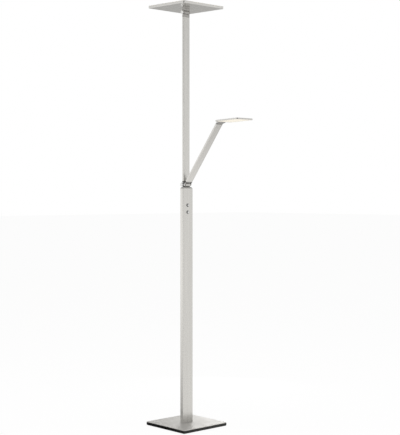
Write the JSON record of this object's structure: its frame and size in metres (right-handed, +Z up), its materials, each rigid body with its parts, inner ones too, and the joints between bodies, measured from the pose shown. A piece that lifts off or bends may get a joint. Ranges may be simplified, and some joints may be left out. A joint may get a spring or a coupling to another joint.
{
  "type": "torchiere floor lamp",
  "caption": "Tall floor lamp with a square uplight head, a folding reading arm with a flat rectangular head, slim flat posts and a square weighted base.",
  "frame": {"origin": "centre of the base's underside, on the surface that the lamp stands on", "axes": "+Z up along the posts, +X along the posts' wide faces, -Y to the lamp's front, where the buttons are and where the reading arm leans"},
  "size_m": [0.25, 0.4884, 1.8334],
  "materials": {
    "brushed_nickel": "brushed along each post's length, satin",
    "satin_nickel": "satin cast fittings",
    "chrome": "polished",
    "black_iron": "black paint",
    "dark_steel": "black oxide",
    "zinc_steel": "bright zinc",
    "black_rubber": "matte",
    "black_plastic": "matte",
    "nylon": "natural nylon",
    "circuit_board": "solder mask",
    "white_board": "white coated",
    "light_guide": "clear acrylic",
    "diffuser": "opal acrylic, lit from behind"
  },
  "bodies": {
    "stand": {"base_pad": "black_rubber", "base_weight": "black_iron", "base_cover": "brushed_nickel", "base_bolt_left": "zinc_steel", "base_bolt_right": "zinc_steel", "post_foot_block": "zinc_steel", "foot_screw_left": "chrome", "foot_screw_right": "chrome", "lower_post": "brushed_nickel", "cord_grommet": "black_rubber", "mains_lead": "black_plastic", "led_driver": "black_plastic", "driver_lead": "black_plastic", "dimmer_board": "circuit_board", "torchiere_lead": "black_plastic", "torchiere_switch": "black_plastic", "reading_switch": "black_plastic", "torchiere_button_ring": "chrome", "reading_button_ring": "chrome", "lower_post_cap": "brushed_nickel", "cap_screw_left": "chrome", "cap_screw_right": "chrome", "barrel_screw": "zinc_steel", "arm_hinge_barrel": "satin_nickel", "post_stem": "dark_steel", "upper_post": "brushed_nickel", "upper_post_top": "satin_nickel", "arm_washer_left": "nylon", "arm_washer_right": "nylon", "top_washer_left": "nylon", "top_washer_right": "nylon"},
    "torchiere_button": {"torchiere_button": "chrome"},
    "reading_button": {"reading_button": "chrome"},
    "post_clamp_knob": {"post_clamp_knob": "chrome"},
    "torchiere_head": {"head_bracket": "satin_nickel", "top_pivot_bolt": "chrome", "head_tray": "brushed_nickel", "head_led_board": "white_board", "head_screw_left": "zinc_steel", "head_screw_right": "zinc_steel", "head_light_guide": "light_guide", "head_diffuser": "diffuser", "head_frame": "brushed_nickel"},
    "torchiere_knob": {"torchiere_knob": "chrome"},
    "reading_arm": {"arm_clevis": "dark_steel", "arm_pivot_bolt": "chrome", "arm_pivot_nut": "chrome", "arm_tube": "brushed_nickel", "arm_end_barrel": "satin_nickel", "reading_lead": "black_plastic", "reading_washer_left": "nylon", "reading_washer_right": "nylon"},
    "reading_head": {"reading_bracket": "satin_nickel", "reading_pivot_bolt": "chrome", "reading_pivot_nut": "chrome", "reading_tray": "brushed_nickel", "reading_screw_left": "zinc_steel", "reading_screw_right": "zinc_steel", "reading_led_board": "white_board", "reading_diffuser": "diffuser"}
  },
  "joints": [
    {"name": "torchiere_button_press", "type": "slide", "parent": "stand", "child": "torchiere_button", "axis": [0, 1, 0], "range_m": [0, 0.0015], "stiffness_N_per_m": 600, "springref_m": -0.001},
    {"name": "reading_button_press", "type": "slide", "parent": "stand", "child": "reading_button", "axis": [0, 1, 0], "range_m": [0, 0.0015], "stiffness_N_per_m": 600, "springref_m": -0.001},
    {"name": "post_clamp_knob_turn", "type": "hinge", "parent": "stand", "child": "post_clamp_knob", "pos_m": [0, 0.0057, 1.051], "axis": [-1, 0, 0], "range_deg": [0, 180]},
    {"name": "torchiere_head_tilt", "type": "hinge", "parent": "stand", "child": "torchiere_head", "pos_m": [0, 0.0038, 1.8025], "axis": [1, 0, 0], "range_deg": [-90, 90]},
    {"name": "torchiere_knob_turn", "type": "hinge", "parent": "torchiere_head", "child": "torchiere_knob", "pos_m": [0, 0.0038, 1.8025], "axis": [-1, 0, 0], "range_deg": [0, 180]},
    {"name": "reading_arm_tilt", "type": "hinge", "parent": "stand", "child": "reading_arm", "pos_m": [0, -0.0054, 1.051], "axis": [1, 0, 0], "range_deg": [-36.3, 80]},
    {"name": "reading_head_tilt", "type": "hinge", "parent": "reading_arm", "child": "reading_head", "pos_m": [0, -0.21201, 1.31215], "axis": [1, 0, 0], "range_deg": [-50, 65]}
  ]
}
